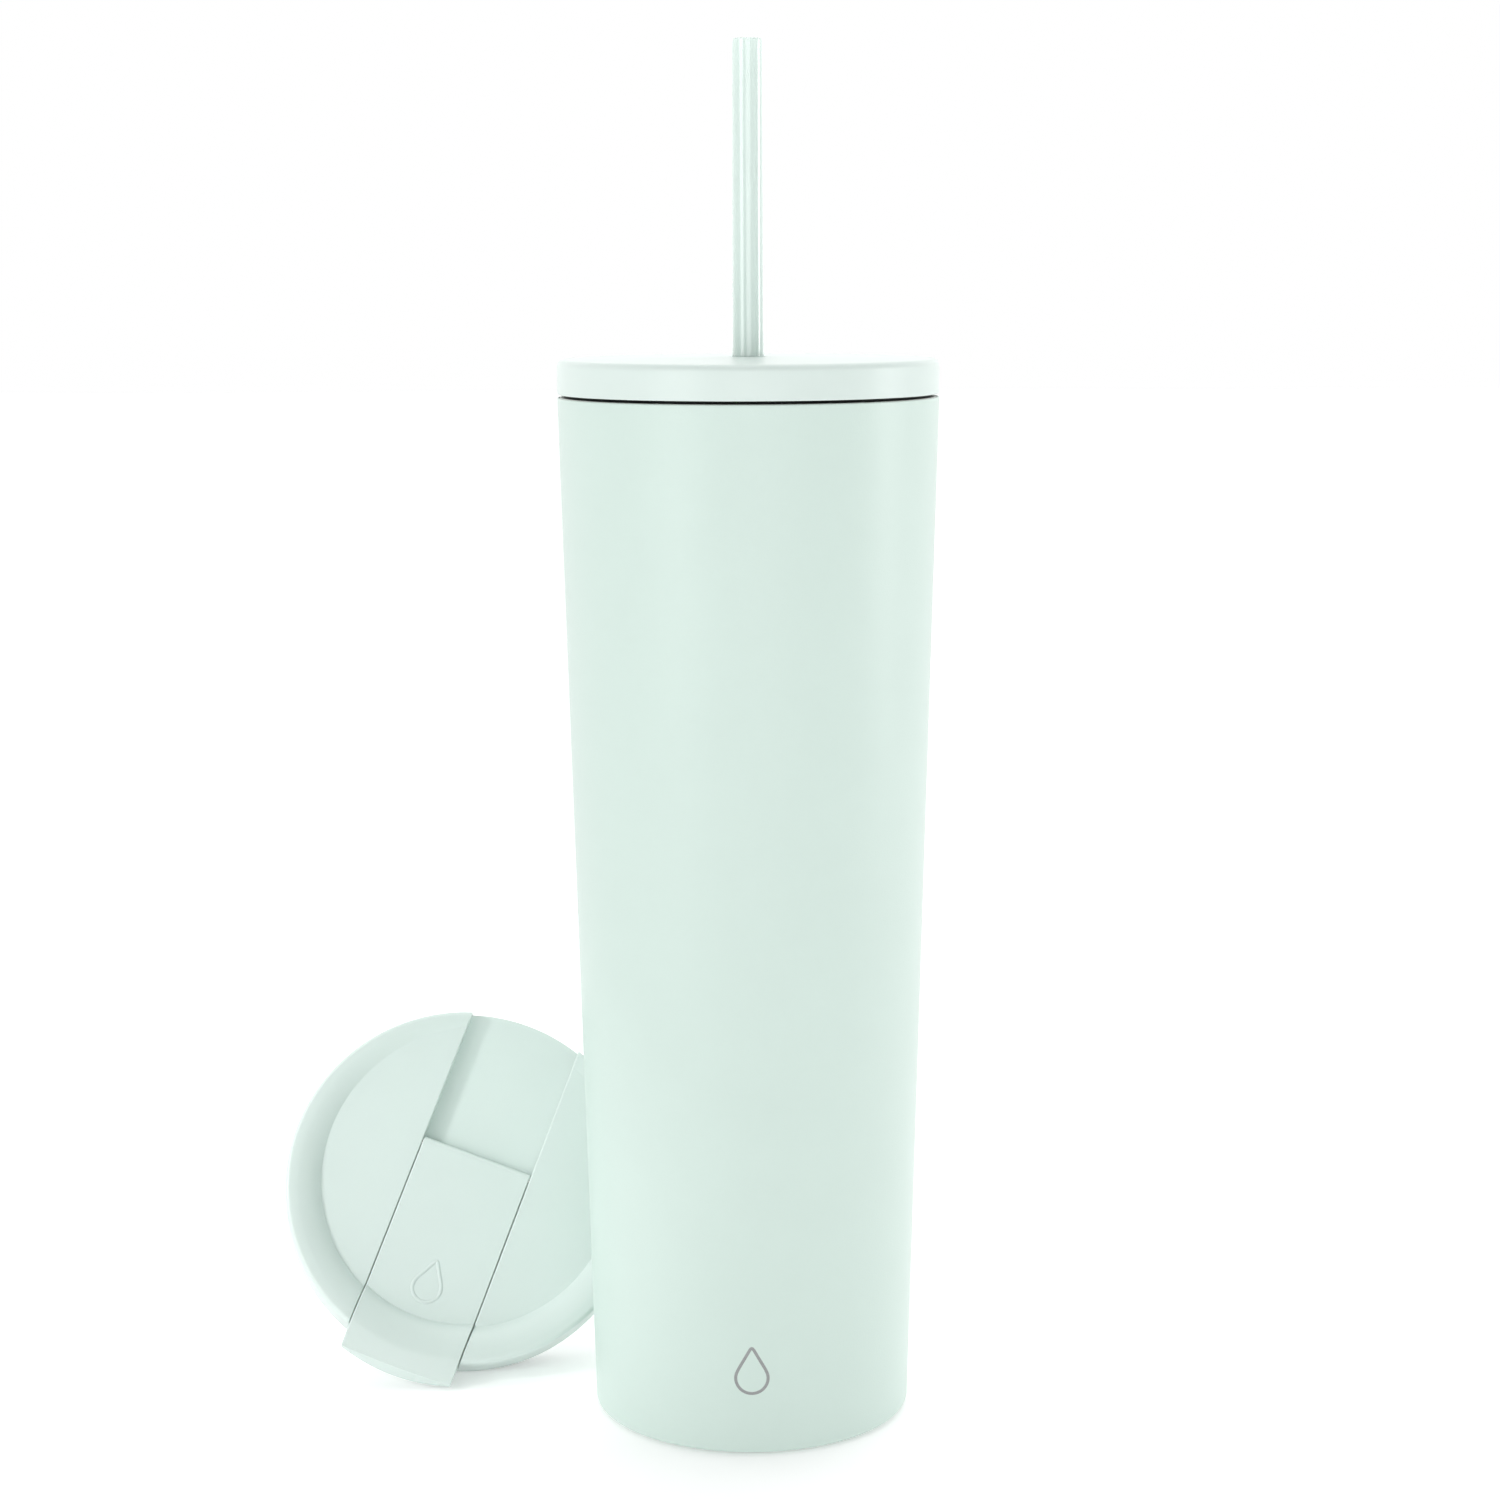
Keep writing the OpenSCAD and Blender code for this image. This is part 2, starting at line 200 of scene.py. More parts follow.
def new_object(name, bm, place=None, smooth_angle=40):
    """A mesh object in metres from a bmesh in mm, put in place. Edges over smooth_angle stay sharp."""
    bmesh.ops.remove_doubles(bm, verts=bm.verts, dist=1e-5)
    bmesh.ops.recalc_face_normals(bm, faces=bm.faces)
    mesh = bpy.data.meshes.new(name)
    bm.to_mesh(mesh)
    bm.free()
    if place is not None:
        mesh.transform(place)
    mesh.transform(Matrix.Scale(MM, 4))
    for p in mesh.polygons:
        p.use_smooth = True
    mesh.set_sharp_from_angle(angle=radians(smooth_angle))
    obj = bpy.data.objects.new(name, mesh)
    bpy.context.scene.collection.objects.link(obj)
    return obj


def add_loft(bm, rings, closed=True, capped=False):
    """Faces between successive closed rings of points. capped fills the first and the last ring."""
    loops = [[bm.verts.new(p) for p in ring] for ring in rings]
    pairs = list(zip(loops, loops[1:]))
    if closed:
        pairs.append((loops[-1], loops[0]))
    for a, b in pairs:
        for i in range(len(a)):
            j = (i + 1) % len(a)
            bm.faces.new((a[i], a[j], b[j], b[i]))
    if capped:
        bm.faces.new(loops[0])
        bm.faces.new(loops[-1])
    return loops


def turned_mesh(bm, outline, steps=TURN_STEPS):
    """Solid of revolution about Z of a closed outline of (r, z) points."""
    rings = []
    for k in range(steps):
        a = 2 * pi * k / steps
        rings.append([(max(r, 0.0) * cos(a), max(r, 0.0) * sin(a), z) for r, z in outline])
    add_loft(bm, rings)
    bmesh.ops.dissolve_degenerate(bm, dist=1e-6, edges=bm.edges)


def turned(name, outline, place=None, steps=TURN_STEPS, smooth_angle=40):
    bm = bmesh.new()
    turned_mesh(bm, outline, steps)
    return new_object(name, bm, place, smooth_angle)


# ---------------------------------------------------------------- material helpers
class Nodes:
    """A Principled material under construction."""

    def __init__(self, name, color, roughness, **sockets):
        self.material = bpy.data.materials.new(name)
        self.material.use_nodes = True
        self.tree = self.material.node_tree
        self.tree.nodes.clear()
        self.out = self.add("ShaderNodeOutputMaterial")
        self.shader = self.add("ShaderNodeBsdfPrincipled")
        self.link(self.shader, "BSDF", self.out, "Surface")
        self.shader.inputs["Base Color"].default_value = (*color, 1)
        self.shader.inputs["Roughness"].default_value = roughness
        for socket, value in sockets.items():
            self.shader.inputs[socket.replace("_", " ")].default_value = value
        self.coords = self.add("ShaderNodeTexCoord")
        self.height = None

    def add(self, kind, **settings):
        node = self.tree.nodes.new(kind)
        for key, value in settings.items():
            if key in node.inputs:
                node.inputs[key].default_value = value
            else:
                setattr(node, key, value)
        return node

    def link(self, a, out, b, into):
        self.tree.links.new(a.outputs[out], b.inputs[into])

    def noise(self, scale, detail=2.0, roughness=0.5, stretch=(1, 1, 1)):
        mapping = self.add("ShaderNodeMapping")
        mapping.inputs["Scale"].default_value = stretch
        self.link(self.coords, "Object", mapping, "Vector")
        node = self.add("ShaderNodeTexNoise", Scale=scale, Detail=detail, Roughness=roughness)
        self.link(mapping, "Vector", node, "Vector")
        return node

    def remap(self, source, out, low, high, to_low, to_high):
        node = self.add("ShaderNodeMapRange")
        node.inputs["From Min"].default_value = low
        node.inputs["From Max"].default_value = high
        node.inputs["To Min"].default_value = to_low
        node.inputs["To Max"].default_value = to_high
        self.link(source, out, node, "Value")
        return node

    def vary_color(self, source, out, dark, light):
        node = self.add("ShaderNodeMix", data_type="RGBA")
        self.link(source, out, node, 0)
        node.inputs[6].default_value = (*dark, 1)
        node.inputs[7].default_value = (*light, 1)
        self.tree.links.new(node.outputs[2], self.shader.inputs["Base Color"])

    def vary_roughness(self, source, out, low, high):
        node = self.remap(source, out, 0.3, 0.7, low, high)
        self.link(node, "Result", self.shader, "Roughness")

    def bump(self, source, out, height_mm, strength=1.0):
        node = self.add("ShaderNodeBump", Strength=strength, Distance=height_mm * MM)
        self.link(source, out, node, "Height")
        if self.height is not None:
            self.link(self.height, "Normal", node, "Normal")
        self.height = node
        self.link(node, "Normal", self.shader, "Normal")


def scaled(color, k):
    return tuple(min(1.0, c * k) for c in color)


MINT = (0.600, 0.722, 0.668)


def powder_coat():
    """Satin powder coat: a fine orange peel with tiny pits and a barely uneven colour."""
    m = Nodes("powder_coat", MINT, 0.42, Coat_Weight=0.12, Coat_Roughness=0.3)
    peel = m.noise(2600, detail=2)
    grit = m.noise(9000, detail=1)
    tone = m.noise(60, detail=3)
    m.vary_color(tone, "Fac", scaled(MINT, 0.985), scaled(MINT, 1.015))
    m.vary_roughness(peel, "Fac", 0.38, 0.46)
    m.bump(peel, "Fac", 0.035)
    m.bump(grit, "Fac", 0.008)
    return m.material


def moulded(name, color, roughness=0.36, **sockets):
    """Fine satin moulded plastic: spark-eroded texture, faint flow marks and a little light in the wall."""
    m = Nodes(name, color, roughness, Subsurface_Weight=0.12, Subsurface_Scale=0.002, **sockets)
    m.shader.inputs["Subsurface Radius"].default_value = (1.0, 1.0, 0.9)
    texture = m.noise(5200, detail=2)
    flow = m.noise(45, detail=2, stretch=(1, 1, 2.5))
    m.vary_color(flow, "Fac", scaled(color, 0.985), scaled(color, 1.012))
    m.vary_roughness(texture, "Fac", roughness - 0.03, roughness + 0.05)
    m.bump(texture, "Fac", 0.008)
    m.bump(flow, "Fac", 0.01)
    return m.material


def straw_plastic():
    """Glossy, slightly translucent tube with drawing lines along its length."""
    # The mint is made 1.2 times paler: painted light, standing in for the light that passes through the
    # translucent tube.
    color = scaled(MINT, 1.2)
    m = Nodes("straw_plastic", color, 0.12, IOR=1.5, Coat_Weight=0.8, Coat_Roughness=0.1)
    m.shader.inputs["Subsurface Weight"].default_value = 0.3
    m.shader.inputs["Subsurface Scale"].default_value = 0.004
    m.shader.inputs["Subsurface Radius"].default_value = (1.0, 1.0, 0.95)
    lines = m.noise(900, detail=2, stretch=(1, 1, 0.003))
    haze = m.noise(70, detail=2)
    m.vary_color(haze, "Fac", scaled(color, 0.98), scaled(color, 1.02))
    m.vary_roughness(lines, "Fac", 0.09, 0.15)
    m.bump(lines, "Fac", 0.001)
    return m.material


def silicone(name, color, **sockets):
    m = Nodes(name, color, 0.5, **sockets)
    skin = m.noise(3500, detail=2)
    dust = m.noise(260, detail=4)
    m.vary_color(dust, "Fac", scaled(color, 0.92), scaled(color, 1.06))
    m.vary_roughness(skin, "Fac", 0.44, 0.58)
    m.bump(skin, "Fac", 0.01)
    return m.material


def spun_steel(name, color=(0.60, 0.59, 0.57), roughness=0.28, stretch=(0.15, 0.15, 9)):
    """Stainless steel with fine lines left by spinning, drawn out round the axis."""
    m = Nodes(name, color, roughness, Metallic=1.0)
    rings = m.noise(420, detail=4, roughness=0.6, stretch=stretch)
    stain = m.noise(35, detail=3)
    m.vary_color(stain, "Fac", scaled(color, 0.94), scaled(color, 1.04))
    m.vary_roughness(rings, "Fac", roughness - 0.06, roughness + 0.12)
    m.bump(rings, "Fac", 0.006)
    return m.material


def foil():
    color = (0.80, 0.46, 0.32)
    m = Nodes("copper_foil", color, 0.25, Metallic=1.0)
    crinkle = m.noise(180, detail=5, roughness=0.65)
    m.vary_color(crinkle, "Fac", scaled(color, 0.85), scaled(color, 1.1))
    m.vary_roughness(crinkle, "Fac", 0.18, 0.36)
    m.bump(crinkle, "Fac", 0.15)
    return m.material


def seal_glass():
    color = (0.10, 0.06, 0.045)
    m = Nodes("seal_glass", color, 0.12, Coat_Weight=0.4)
    swirl = m.noise(500, detail=3)
    m.vary_color(swirl, "Fac", scaled(color, 0.7), scaled(color, 1.5))
    m.vary_roughness(swirl, "Fac", 0.08, 0.2)
    m.bump(swirl, "Fac", 0.05)
    return m.material


MAT = {
    "powder_coat": powder_coat(),
    "lid_plastic": moulded("lid_plastic", (0.668, 0.762, 0.725), 0.36),
    # Same plastic as lid_plastic, made darker and less green: painted shade that offsets the lid spot's
    # light on the flip lid.
    "flip_lid_painted_shade": moulded("flip_lid_painted_shade", (0.612, 0.700, 0.668), 0.36),
    "plug_plastic": moulded("plug_plastic", scaled(MINT, 0.95), 0.4),
    "straw_plastic": straw_plastic(),
    "steel": spun_steel("steel"),
    "steel_pin": spun_steel("steel_pin", roughness=0.2, stretch=(9, 0.3, 0.3)),
    "etched_steel": spun_steel("etched_steel", color=(0.33, 0.34, 0.34), roughness=0.5),
    "copper_foil": foil(),
    "seal_glass": seal_glass(),
    # Black ring set back in the seam under each lid, so that the seam draws as a black line.
    "black_silicone": silicone("black_silicone", (0.006, 0.007, 0.007), Specular_IOR_Level=0.15),
    "clear_silicone": silicone("clear_silicone", (0.74, 0.79, 0.77), Subsurface_Weight=0.4),
}


def finish_piece(obj, body, slot, *nodes, look=None):
    """Gives a piece its material and its body, and hides the CAD nodes that it stands for. look names a
    finish other than the slot's."""
    obj.data.materials.clear()
    obj.data.materials.append(MAT[look or slot])
    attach(obj, body)
    if nodes:
        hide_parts(*nodes)
    return obj


def dress_node(node, slot):
    """A CAD node that stays gets its procedural material."""
    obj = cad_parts[node]
    for s in obj.material_slots:
        s.material = MAT[slot]
    if not obj.material_slots:
        obj.data.materials.append(MAT[slot])


# ---------------------------------------------------------------- tumbler
def shell_radius(z):
    """Outside radius in mm of the painted shell at height z."""
    low = FOOT_GAP + SHELL_CORNER
    return BASE_R + (RIM_R - BASE_R) * (z - low) / (BODY_H - 0.1 - low)


def make_shell():
    hem = BASE_R - 2.5
    top = BODY_H - 0.1
    outline = rounded(
        [
            (hem, FOOT_GAP + SHELL_T, 0.2),
            (hem, FOOT_GAP, 0.25),
            (BASE_R - 0.04, FOOT_GAP, SHELL_CORNER),
            (RIM_R, top, 0.35),
            (RIM_R - SHELL_T, top, 0.2),
            (BASE_R - SHELL_T, FOOT_GAP + SHELL_T, SHELL_CORNER - SHELL_T),
        ]
    )
    return finish_piece(turned("shell", outline, steps=256), "tumbler", "powder_coat", "outer_shell")


def make_liner():
    top = BODY_H
    out = LINER_T
    rim_in = RIM_R - SHELL_T - 0.05
    outline = rounded(
        [
            (0, FLOOR_Z, 0),
            (FLOOR_R, FLOOR_Z, FLOOR_CORNER),
            (MOUTH_R, BODY_H - MOUTH_DEPTH, 20),
            (MOUTH_R, top, 1.1),
            (rim_in, top, 0.15),
            (rim_in, top - 1.2, 0.1),
            (rim_in - out, top - 1.2, 0.1),
            (rim_in - out, top - out, 0.1),
            (MOUTH_R + out, top - out, 0.6),
            (MOUTH_R + out, BODY_H - MOUTH_DEPTH, 20),
            (FLOOR_R + out, FLOOR_Z - out, FLOOR_CORNER + out),
            (0, FLOOR_Z - out, 0),
        ],
        steps=10,
    )
    return finish_piece(turned("liner", outline), "tumbler", "steel", "inner_liner")


def make_base():
    foot = BASE_R - 2.55
    seat = FOOT_GAP + SHELL_T + 0.05
    ledge = BASE_R - SHELL_T - 0.9
    t = SHELL_T
    outline = rounded(
        [
            (1.2, 1.9, 0.1),
            (5.0, 1.9, 0.4),
            (6.0, 0.9, 0.4),
            (COVER_R + 0.1, 0.9, 0.2),
            (COVER_R + 0.9, 0, 0.35),
            (foot, 0, 0.5),
            (foot, seat, 0.15),
            (ledge, seat, 0.2),
            (ledge, seat + t, 0.2),
            (foot - t, seat + t, 0.5),
            (foot - t, t, 0.3),
            (COVER_R + 1.3, t, 0.3),
            (COVER_R + 0.4, 0.9 + t, 0.3),
            (6.3, 0.9 + t, 0.4),
            (5.3, 1.9 + t, 0.4),
            (1.2, 1.9 + t, 0.1),
        ],
        steps=4,
        support=0.03,
    )
    finish_piece(turned("base_plate", outline), "tumbler", "steel", "outer_base")
    cover = rounded([(0, 0, 0), (COVER_R, 0, 0.35), (COVER_R, COVER_T, 0.1), (0, COVER_T, 0)], support=0.05)
    finish_piece(turned("base_cover_disc", cover), "tumbler", "steel", "base_cover")


# ---------------------------------------------------------------- press-in plug, gasket and rim seal
def shifted(outline, dz):
    return [(r, z + dz) for r, z in outline]


def plug_outline(skirt_r):
    groove_top = -PLUG_DEPTH * 0.42
    return rounded(
        [
            (PLUG_R - PLUG_T, FLANGE_T, 0.3),
            (PLUG_R - PLUG_T + 0.4, -PLUG_DEPTH, 0.6),
            (PLUG_R - 0.2, -PLUG_DEPTH, 0.6),
            (PLUG_R, -PLUG_DEPTH + 0.9, 0.3),
            (PLUG_R, groove_top - GROOVE_H, 0.25),
            (PLUG_R - GROOVE_DEPTH, groove_top - GROOVE_H, 0.15),
            (PLUG_R - GROOVE_DEPTH, groove_top, 0.15),
            (PLUG_R, groove_top, 0.25),
            (PLUG_R, 0.05, 0.2),
            (skirt_r, 0.05, 0.2),
            (skirt_r, FLANGE_T, 0.2),
        ],
        steps=4,
        support=0.05,
    )


def gasket_outline():
    top = -PLUG_DEPTH * 0.42 - 0.05
    bottom = top - GROOVE_H + 0.1
    root = PLUG_R - GROOVE_DEPTH + 0.05
    return rounded(
        [
            (root, bottom, 0.1),
            (PLUG_R + 0.1, bottom, 0.3),
            (GASKET_R, bottom + 0.9, 0.25),
            (GASKET_R, bottom + 1.3, 0.2),
            (PLUG_R + 0.05, (top + bottom) / 2, 0.3),
            (GASKET_R, top - 0.8, 0.2),
            (GASKET_R, top - 0.4, 0.2),
            (PLUG_R + 0.1, top, 0.2),
            (root, top, 0.1),
        ],
        steps=4,
        support=0.03,
    )


def rim_seal_outline():
    low = -RIM_SEAL_T + 0.02
    return rounded(
        [
            (PLUG_R + 0.05, low, 0.05),
            (SEAL_R - 0.15, low, 0.15),
            (SEAL_R, low + 0.25, 0.1),
            (SEAL_R, 0, 0.05),
            (PLUG_R + 0.05, 0, 0.05),
        ],
        steps=4,
        support=0.02,
    )


# ---------------------------------------------------------------- straw lid and straw
def make_straw_lid():
    under = CAP_TOP - CAP_T
    skirt_in = RIM_R - CAP_T
    boss_in = GROMMET_R + 0.05
    boss_out = boss_in + 1.8
    crown = CAP_TOP + CAP_CROWN
    outline = rounded(
        [
            (STRAW_HOLE_R, under, 0.2),
            (STRAW_HOLE_R, crown, 0.5),
            (RIM_R * 0.55, CAP_TOP + CAP_CROWN * 0.62, 60),
            (RIM_R, CAP_TOP, CAP_FILLET),
            (RIM_R, LID_Z + 0.05, 0.25),
            (skirt_in, LID_Z + 0.05, 0.2),
            (skirt_in, under, 0.6),
            (boss_out, under, 0.4),
            (boss_out, LID_Z, 0.25),
            (boss_in, LID_Z, 0.15),
            (boss_in, under, 0.1),
        ],
        steps=8,
    )
    finish_piece(turned("straw_lid_top", outline, steps=256), "straw_lid", "lid_plastic", "straw_lid_cap")
    plug = shifted(plug_outline(skirt_in - 0.05), LID_Z)
    finish_piece(turned("straw_lid_insert", plug), "straw_lid", "plug_plastic", "straw_lid_plug")
    gasket = shifted(gasket_outline(), LID_Z)
    finish_piece(turned("straw_lid_ring", gasket), "straw_lid", "clear_silicone", "straw_lid_gasket")
    seal = shifted(rim_seal_outline(), LID_Z)
    # The ring in the seam is black, so the seam draws as a black line.
    finish_piece(turned("straw_lid_black_ring", seal), "straw_lid", "black_silicone", "straw_lid_rim_seal")


def make_grommet():
    high = CAP_TOP - CAP_T - 0.05
    outline = rounded(
        [
            (STRAW_R + 0.05, GROMMET_FOOT + 1.2, 0.3),
            (STRAW_R + 1, GROMMET_FOOT, 0.3),
            (GROMMET_R + 1.4, GROMMET_FOOT, 0.3),
            (GROMMET_R + 1.4, LID_Z - 0.05, 0.2),
            (GROMMET_R, LID_Z - 0.05, 0.1),
            (GROMMET_R, high, 0.3),
            (STRAW_R + 1, high, 0.3),
            (STRAW_R + 0.05, high - 1.2, 0.3),
        ],
        steps=4,
        support=0.04,
    )
    finish_piece(turned("grommet", outline, steps=96), "straw_lid", "clear_silicone", "straw_grommet")


def make_straw():
    outline = rounded(
        [
            (STRAW_BORE, STRAW_BOTTOM, 0.2),
            (STRAW_R, STRAW_BOTTOM, 0.3),
            (STRAW_R, RIDGE_TOP - RIDGE_H, 0.4),
            (RIDGE_R, RIDGE_TOP - RIDGE_H + 0.8, 0.4),
            (RIDGE_R, RIDGE_TOP, 0.3),
            (STRAW_R, RIDGE_TOP, 0.2),
            (STRAW_R, STRAW_TOP, 0.3),
            (STRAW_BORE, STRAW_TOP, 0.2),
        ],
        support=0.04,
    )
    finish_piece(turned("drinking_straw", outline, steps=96), "straw", "straw_plastic", "straw")


# ---------------------------------------------------------------- flip lid, crest at z = 0 and tab to -Y
def edge_steps(radius, support, steps=4):
    """(distance, inset) steps in from a cut face: a quarter round, then a support point at its end."""
    turns = [pi / 2 * k / steps for k in range(steps + 1)]
    return [(radius * (1 - cos(a)), radius * (1 - sin(a))) for a in turns] + [(radius + support, 0.0)]


def edge_columns(start, end, radius, middle=10):
    """(x, inset) columns from one cut end to the other. Near each end the section shrinks to round it."""
    near = edge_steps(radius, 0.1)
    left = [(start + d, inset) for d, inset in near]
    right = [(end - d, inset) for d, inset in reversed(near)]
    first, last = left[-1][0], right[0][0]
    inner = [(first + (last - first) * k / middle, 0.0) for k in range(1, middle)]
    return left + inner + right


def outline_normals(outline):
    """Outward unit normal at each point of a closed outline."""
    following = outline[1:] + outline[:1]
    area = sum(here[0] * after[1] - after[0] * here[1] for here, after in zip(outline, following))
    side = 1 if area > 0 else -1
    normals = []
    for i in range(len(outline)):
        here = Vector(outline[i])
        before = (here - Vector(outline[i - 1])).normalized()
        after = (Vector(following[i]) - here).normalized()
        along = before + after
        along = along.normalized() if along.length > 1e-6 else after
        normals.append(Vector((along.y, -along.x)) * side)
    return normals


def swept_across(bm, outline_at, columns, to_front):
    """Solid across X of the closed (distance, z) outlines outline_at(x). to_front turns a distance into a
    place along Y, where it can be a radius round the lid's axis."""
    rings = []
    for x, inset in columns:
        outline = outline_at(x)
        normals = outline_normals(outline)
        ring = []
        for (d, z), nrm in zip(outline, normals):
            d2, z2 = d - nrm.x * inset, z - nrm.y * inset
            ring.append((x, to_front(d2, x), z2))
        rings.append(ring)
    add_loft(bm, rings, closed=False, capped=True)


def round_the_axis(from_d, over=2.0):
    """Beyond from_d from the lid's centre, distances turn into radii within the next few mm."""

    def place(d, x):
        y = abs(d)
        if y > from_d:
            blend = min(1.0, (y - from_d) / over)
            y += (sqrt(max(y * y - x * x, 0.0)) - y) * blend
        return -y if d > 0 else y

    return place


def plate_height(y):
    """Height of the sloping plates at y in the lid's frame. They fall towards the drinking side."""
    return -PLATE_DROP - (HINGE_BACK - y) * tan(DISH_TILT)


def channel_height(y):
    """Height of the channel's floor, which slopes with the plates."""
    return plate_height(y) + PLATE_DROP + CHANNEL_FLOOR


def slope_point(a, from_r, to_r, depth):
    """Point of the rim's inner slope at its angle a: height 0 at from_r, steepest at its foot."""
    s0, s1 = sin(SLOPE_START), sin(SLOPE_END)
    c0, c1 = cos(SLOPE_START), cos(SLOPE_END)
    return from_r + (to_r - from_r) * (sin(a) - s0) / (s1 - s0), -depth * (c0 - cos(a)) / (c0 - c1)


def foot_angle(theta):
    """Slope angle at which the sloping plate meets the rim's slope, in the direction theta."""
    low, high = SLOPE_START, SLOPE_END
    for _ in range(24):
        a = (low + high) / 2
        r, z = slope_point(a, CREST_R, PLATE_R, SLOPE_DEPTH)
        if z > plate_height(r * sin(theta)):
            low = a
        else:
            high = a
    return (low + high) / 2


def cap_section(theta):
    """Closed (r, z, rounded) section of the cap towards theta: plate, slope, crest, wall and underside."""
    foot = foot_angle(theta)
    edge_r = slope_point(foot, CREST_R, PLATE_R, SLOPE_DEPTH)[0]
    turn = sin(theta)
    inner_r = CHANNEL_HALF + 0.8
    top = [(r, plate_height(r * turn), True) for r in (inner_r, edge_r - 1.0, edge_r - EDGE_ROUND)]
    for k in range(SLOPE_STEPS + 1):
        a = foot + (SLOPE_START - foot) * k / SLOPE_STEPS
        r, z = slope_point(a, CREST_R, PLATE_R, SLOPE_DEPTH)
        top.append((r, z, True))
    crest = []
    for k in range(9):
        a = radians(90 - 90 * k / 8)
        crest.append((FLIP_R - CREST_ROUND * (1 - cos(a)), -CREST_ROUND * (1 - sin(a)), True))
    low = -FLIP_WALL + 0.05
    wall = [(FLIP_R, -2.4, True), (FLIP_R, -2.7, False), (FLIP_R, low + 0.4, False)]
    wall += [(FLIP_R - 0.1, low + 0.12, False), (FLIP_R - 0.4, low, False)]
    wall += [(SKIRT_IN + 0.2, low, False), (SKIRT_IN, low + 0.2, False)]
    under = [(SKIRT_IN, -2.9, False), (SKIRT_IN - 0.5, -2.5, False), (CREST_R - 3, -3.6, False)]
    fold = PLATE_R + 1.8
    under.append((fold, min(-SLOPE_DEPTH - 0.8, plate_height(fold * turn) - PLATE_T), False))
    for r in (fold - 0.3, inner_r):
        under.append((r, plate_height(r * turn) - PLATE_T, False))
    return top + crest + wall + under


def place_on_section(i, theta_sign, x, inset):
    """Point i of the cap's section where it crosses this x, moved in by inset where the edge is rounded."""
    theta = theta_sign * acos(min(1.0, x / FLIP_R))
    for _ in range(4):
        section = cap_section(theta)
        theta = theta_sign * acos(min(1.0, x / section[i][0]))
    r, z, soft = section[i]
    if soft:
        n = len(section)
        before, after = Vector(section[i - 1][:2]), Vector(section[(i + 1) % n][:2])
        along = (after - before).normalized()
        r, z = r + along.y * inset, z - along.x * inset
    return x, theta_sign * sqrt(max(r * r - x * x, 0.0)), z


def fill_across(bm, ring):
    """Fills a symmetric half-moon ring with strips from its one side to the other."""
    k, j = 0, len(ring) - 1
    while j - k > 2:
        bm.faces.new((ring[k], ring[k + 1], ring[j - 1], ring[j]))
        k, j = k + 1, j - 1
    if j - k == 2:
        bm.faces.new((ring[k], ring[k + 1], ring[j]))


def make_half(cut, radius=0.35, middle=80):
    """The cap's half beyond the plane x = cut: a plate with its stretch of rim, rounded above the cut."""
    bm = bmesh.new()
    near = edge_steps(radius, 0.12)
    loops = []
    for i in range(len(cap_section(0))):
        back = [place_on_section(i, 1, cut + d, inset) for d, inset in near]
        front = [place_on_section(i, -1, cut + d, inset) for d, inset in reversed(near)]
        first, last = atan2(back[-1][1], back[-1][0]), atan2(front[0][1], front[0][0])
        between = []
        for k in range(1, middle):
            theta = first + (last - first) * k / middle
            r, z, _ = cap_section(theta)[i]
            between.append((r * cos(theta), r * sin(theta), z))
        loops.append([bm.verts.new(p) for p in back + between + front])
    for a, b in zip(loops, loops[1:]):
        for k in range(len(a) - 1):
            bm.faces.new((a[k], a[k + 1], b[k + 1], b[k]))
    for ring in (loops[0], loops[-1]):
        fill_across(bm, ring)
    bm.faces.new([loop[0] for loop in loops])
    bm.faces.new([loop[-1] for loop in loops])
    bm.faces.new((loops[0][0], loops[0][-1], loops[-1][-1], loops[-1][0]))
    return bm


def wall_top(y):
    """Height of the top of the channel's walls: inside the plates, and past them inside the raised rim."""
    in_rim = -WALL_SINK - WALL_RISE * max(0.0, RIM_INSIDE - abs(y))
    return max(plate_height(y) - PLATE_T / 2, in_rim)


def make_tray():
    """The channel's floor with the walls beside it, and the stretches of skirt at its two ends."""
    low = -FLIP_WALL + 0.05

    def outline(top, inset):
        out, inside = FLIP_R - inset, SKIRT_IN + inset
        under = [(d, channel_height(-d) - FLOOR_T) for d in (inside, -inside)]
        front, back = top(-out), top(out)
        return [
            (out - 0.35, top(-out + 0.35)),
            (out - 0.1, front - 0.1),
            (out, front - 0.35),
            (out, low + 0.4 + inset),
            (out - 0.12, low + 0.12 + inset),
            (out - 0.4, low + inset),
            (inside, low + inset),
            under[0],
            under[1],
            (-inside, low + inset),
            (-out + 0.4, low + inset),
            (-out + 0.12, low + 0.12 + inset),
            (-out, low + 0.4 + inset),
            (-out, back - 0.35),
            (-out + 0.1, back - 0.1),
            (-out + 0.35, top(out - 0.35)),
            (-RIM_INSIDE, top(RIM_INSIDE)),
            (-PLATE_R, top(PLATE_R)),
            (0, top(0)),
            (PLATE_R, top(-PLATE_R)),
            (RIM_INSIDE, top(-RIM_INSIDE)),
        ]

    floor = outline(channel_height, 0.0)
    wall = outline(wall_top, 0.1)
    half, wide = CHANNEL_HALF, CHANNEL_HALF + WALL_T
    columns = [(-wide, wall), (-half - 0.02, wall)]
    columns += [(half * k / 8, floor) for k in range(-8, 9)]
    columns += [(half + 0.02, wall), (wide, wall)]
    to_front = round_the_axis(30.0, 8.0)
    bm = bmesh.new()
    rings = [[(x, to_front(d, x), z) for d, z in section] for x, section in columns]
    add_loft(bm, rings, closed=False, capped=True)
    return bm


